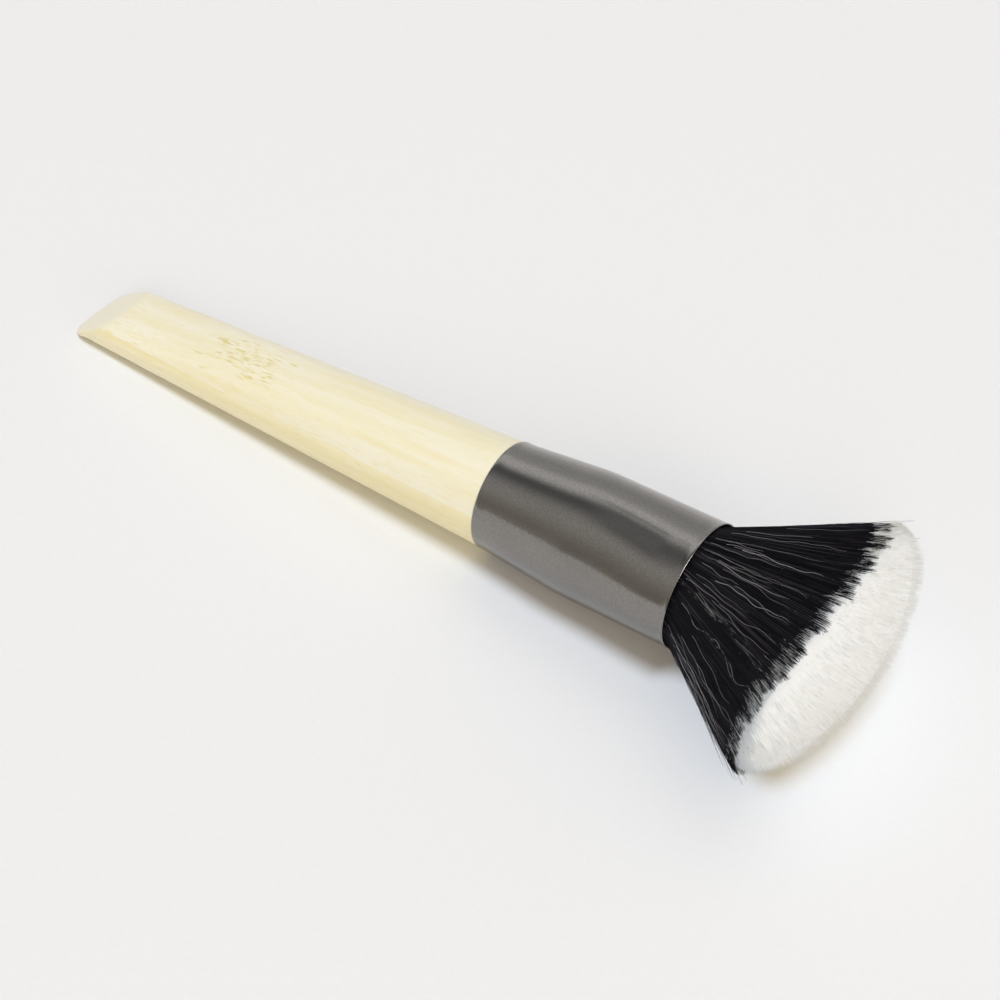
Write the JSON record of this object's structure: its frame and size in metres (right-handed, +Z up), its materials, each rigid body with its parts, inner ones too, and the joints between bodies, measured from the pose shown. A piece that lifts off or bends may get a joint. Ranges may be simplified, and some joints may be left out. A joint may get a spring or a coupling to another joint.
{
  "type": "foundation brush",
  "caption": "Cosmetics brush: laminated bamboo handle with a chisel end, dark metal ferrule flattening to an oval mouth, and a fan-shaped domed tuft, black below and white at the tips.",
  "frame": {"origin": "on the surface that the brush lies on, under the centre of its bounding box", "axes": "+X along the brush from the handle's end to the tuft, +Y across the wide way of the tuft, +Z up; the brush's own axis rises towards the tuft by its rest angle of about 4.5 degrees"},
  "size_m": [0.1839, 0.0677, 0.0317],
  "materials": {
    "bamboo": "fine lengthwise grain under a satin lacquer",
    "bamboo_core": "fine lengthwise grain under a satin lacquer",
    "adhesive": "set glue",
    "gunmetal": "satin gunmetal",
    "resin": "set resin",
    "thread": "twisted thread",
    "black_fibre": "fine synthetic filament with a soft sheen",
    "white_fibre": "fine synthetic filament with a soft sheen"
  },
  "bodies": {
    "root": {"handle_upper_ply": "bamboo", "handle_core_ply": "bamboo_core", "handle_lower_ply": "bamboo", "tenon_adhesive": "adhesive", "ferrule": "gunmetal", "resin_plug": "resin", "tuft_binding": "thread", "black_bristles": "black_fibre", "white_bristles": "white_fibre"}
  },
  "joints": []
}
